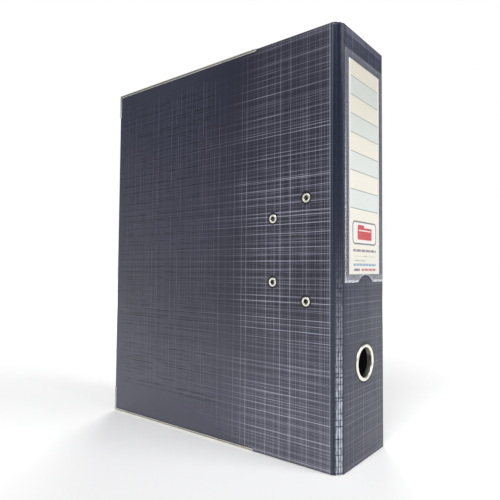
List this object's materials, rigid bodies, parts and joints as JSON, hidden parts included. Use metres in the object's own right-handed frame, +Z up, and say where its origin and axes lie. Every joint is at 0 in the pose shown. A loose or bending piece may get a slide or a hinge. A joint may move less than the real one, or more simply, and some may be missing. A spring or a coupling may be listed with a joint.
{
  "type": "lever arch file",
  "caption": "Upright lever arch file: cloth-hinged covers and spine with finger ring and label pocket, and an inner lever mechanism with arches, posts and a sliding paper bar.",
  "frame": {"origin": "middle of the footprint, at the height of the lower edge", "axes": "+Z up along the spine, -Y out of the spine, -X out of the back cover that carries the mechanism"},
  "size_m": [0.0826, 0.2814, 0.345],
  "materials": {
    "covering": "embossed film, semi-gloss",
    "board": "grey board",
    "lining": "dark lining paper",
    "guard": "thin bright strip",
    "nickel": "nickel plated",
    "mechanism_steel": "nickel plated",
    "roller": "moulded",
    "compressor": "black enamel",
    "latch": "zinc plated",
    "spring": "spring wire",
    "pocket": "clear film",
    "card": "printed card"
  },
  "bodies": {
    "back_cover": {"back_board": "board", "back_covering": "covering", "back_lining": "lining", "back_top_edge_guard": "guard", "back_bottom_edge_guard": "guard", "back_hinge_cloth": "covering", "base_plate": "mechanism_steel", "fixed_post_upper": "mechanism_steel", "fixed_post_lower": "mechanism_steel", "mechanism_rivets": "nickel", "lever_rivets": "mechanism_steel", "bail_spring": "spring"},
    "spine": {"spine_board": "board", "spine_covering": "covering", "spine_lining": "lining", "finger_ring": "nickel", "finger_ring_washer": "nickel", "label_pocket": "pocket", "front_hinge_cloth": "covering"},
    "label": {"label_card": "card"},
    "front_cover": {"front_board": "board", "front_covering": "covering", "front_lining": "lining", "front_top_edge_guard": "guard", "front_bottom_edge_guard": "guard"},
    "bail": {"arch_bail": "mechanism_steel"},
    "lever": {"lever": "mechanism_steel", "roller_pin": "mechanism_steel"},
    "roller": {"lever_roller": "roller"},
    "compressor": {"compressor_bar": "compressor", "latch_spring": "spring"},
    "latch_upper": {"latch_upper": "latch"},
    "latch_lower": {"latch_lower": "latch"}
  },
  "joints": [
    {"name": "back_hinge", "type": "hinge", "parent": "back_cover", "child": "spine", "pos_m": [-0.03921, -0.13786, 0.1725], "axis": [0, 0, -1], "range_deg": [0, 90], "deforming": ["back_hinge_cloth"]},
    {"name": "front_hinge", "type": "hinge", "parent": "spine", "child": "front_cover", "pos_m": [0.03921, -0.13786, 0.1725], "axis": [0, 0, -1], "range_deg": [0, 90], "deforming": ["front_hinge_cloth"]},
    {"name": "lever_turn", "type": "hinge", "parent": "back_cover", "child": "lever", "pos_m": [-0.02466, -0.09045, 0.191], "axis": [0, -1, 0], "range_deg": [0, 70]},
    {"name": "bail_turn", "type": "hinge", "parent": "back_cover", "child": "bail", "pos_m": [-0.0326, -0.10165, 0.169], "axis": [0, 0, -1], "range_deg": [0, 33], "deforming": ["bail_spring"]},
    {"name": "roller_spin", "type": "hinge", "parent": "lever", "child": "roller", "pos_m": [-0.0283, -0.09045, 0.18598], "axis": [0, -1, 0], "continuous": true},
    {"name": "compressor_slide", "type": "slide", "parent": "back_cover", "child": "compressor", "axis": [1, 0, 0], "range_m": [0, 0.03]},
    {"name": "latch_upper_pinch", "type": "slide", "parent": "compressor", "child": "latch_upper", "axis": [0, 0, -1], "range_m": [0, 0.003], "stiffness_N_per_m": 300, "springref_m": -0.002, "deforming": ["latch_spring"]},
    {"name": "latch_lower_pinch", "type": "slide", "parent": "compressor", "child": "latch_lower", "axis": [0, 0, 1], "range_m": [0, 0.003]},
    {"name": "label_slide", "type": "slide", "parent": "spine", "child": "label", "axis": [0, 0, -1], "range_m": [0, 0.05]}
  ],
  "couplings": [
    {"joint": "bail_turn", "follows": "lever_turn", "ratio": 0.47143},
    {"joint": "latch_lower_pinch", "follows": "latch_upper_pinch", "ratio": 1}
  ]
}
